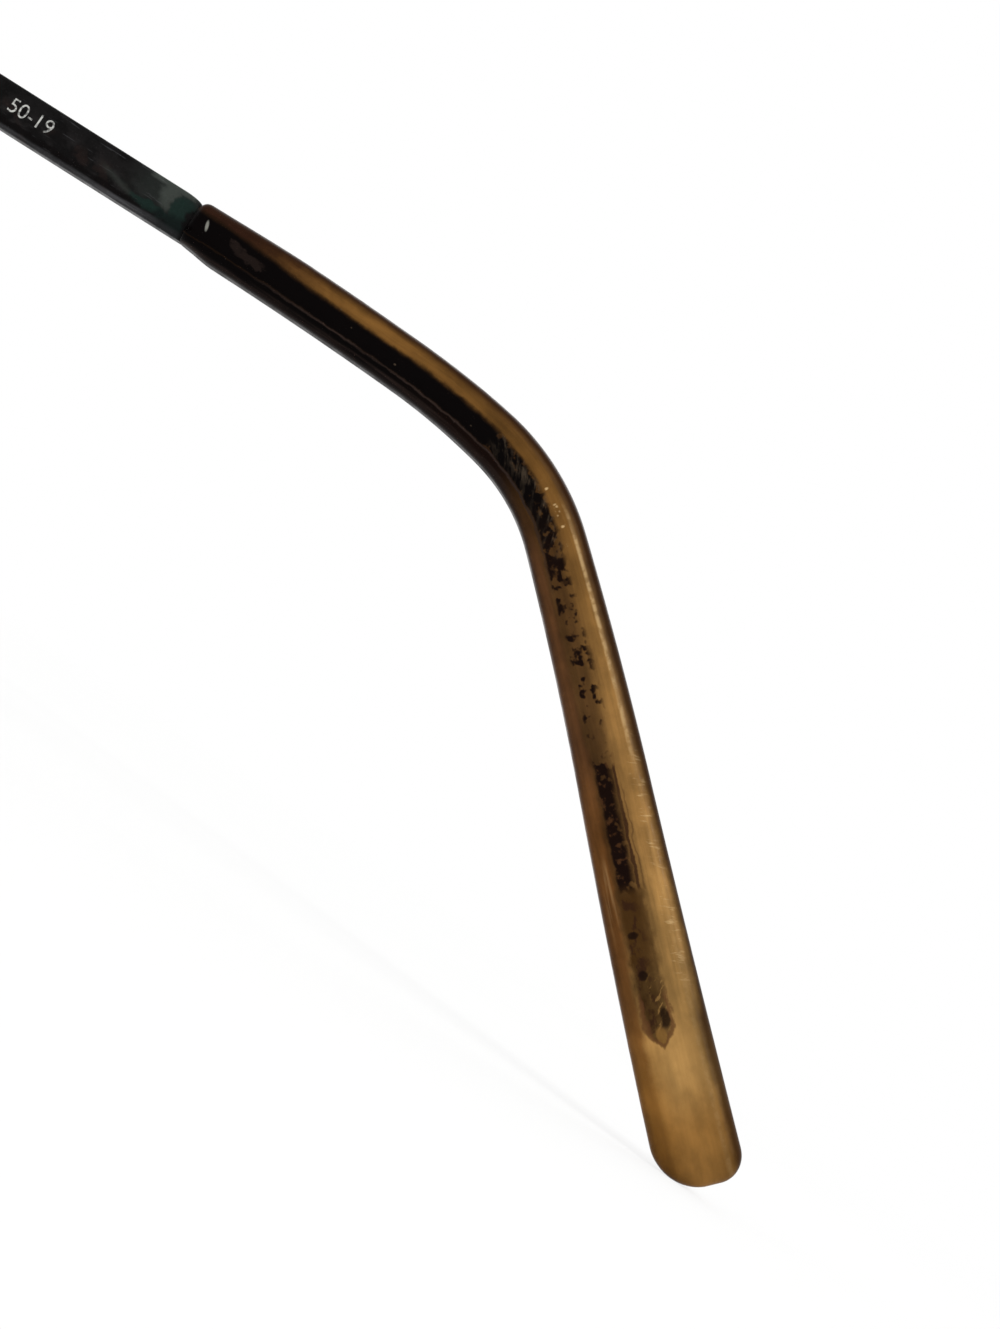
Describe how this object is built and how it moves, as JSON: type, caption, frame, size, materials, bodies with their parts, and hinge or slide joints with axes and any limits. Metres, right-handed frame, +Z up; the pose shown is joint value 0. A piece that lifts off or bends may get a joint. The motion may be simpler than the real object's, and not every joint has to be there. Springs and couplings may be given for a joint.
{
  "type": "eyeglass frame",
  "caption": "Full-rim metal eyeglass frame with folding flat temples, horn-coloured plastic tips bent behind the ear, rocking nose pads and clear lenses, standing open.",
  "frame": {"origin": "middle of the frame's footprint on the table it stands on, open, on its rims and temple tips", "axes": "+Z up, -Y the way the wearer looks, so +Y runs back along the temples; +X is the wearer's left"},
  "size_m": [0.1386, 0.1378, 0.0373],
  "materials": {
    "enamel": "gloss",
    "tip_acetate": "gloss",
    "bare_steel": "satin",
    "pad_silicone": "satin",
    "lens": "gloss"
  },
  "bodies": {
    "front": {"rim_left": "enamel", "rim_right": "enamel", "lens_left": "lens", "lens_right": "lens", "bridge": "enamel", "rim_lock_left": "enamel", "rim_lock_right": "enamel", "rim_screw_left": "bare_steel", "rim_screw_right": "bare_steel", "end_piece_left": "enamel", "end_piece_right": "enamel", "front_hinge_left": "enamel", "front_hinge_right": "enamel", "hinge_screw_left": "bare_steel", "hinge_screw_right": "bare_steel", "pad_arm_left": "enamel", "pad_arm_right": "enamel", "pad_box_left": "enamel", "pad_box_right": "enamel", "pad_screw_left": "bare_steel", "pad_screw_right": "bare_steel"},
    "temple_left_body": {"temple_hinge_left": "enamel", "temple_bar_left": "enamel", "temple_tip_left": "tip_acetate"},
    "nose_pad_left_body": {"pad_lug_left": "bare_steel", "nose_pad_left": "pad_silicone"},
    "temple_right_body": {"temple_hinge_right": "enamel", "temple_bar_right": "enamel", "temple_tip_right": "tip_acetate"},
    "nose_pad_right_body": {"pad_lug_right": "bare_steel", "nose_pad_right": "pad_silicone"}
  },
  "joints": [
    {"name": "temple_left_fold", "type": "hinge", "parent": "front", "child": "temple_left_body", "pos_m": [0.06592, -0.0553, 0.03049], "axis": [0, -0.1619, 0.9868], "range_deg": [0, 90]},
    {"name": "temple_right_fold", "type": "hinge", "parent": "front", "child": "temple_right_body", "pos_m": [-0.06592, -0.0553, 0.03049], "axis": [0, -0.1619, 0.9868], "range_deg": [-84, 0]},
    {"name": "nose_pad_left_rock", "type": "hinge", "parent": "front", "child": "nose_pad_left_body", "pos_m": [0.0106, -0.0591, 0.01601], "axis": [0.4292, 0.8581, 0.282], "range_deg": [-10, 10]},
    {"name": "nose_pad_right_rock", "type": "hinge", "parent": "front", "child": "nose_pad_right_body", "pos_m": [-0.0106, -0.0591, 0.01601], "axis": [-0.4292, 0.8581, 0.282], "range_deg": [-10, 10]}
  ]
}
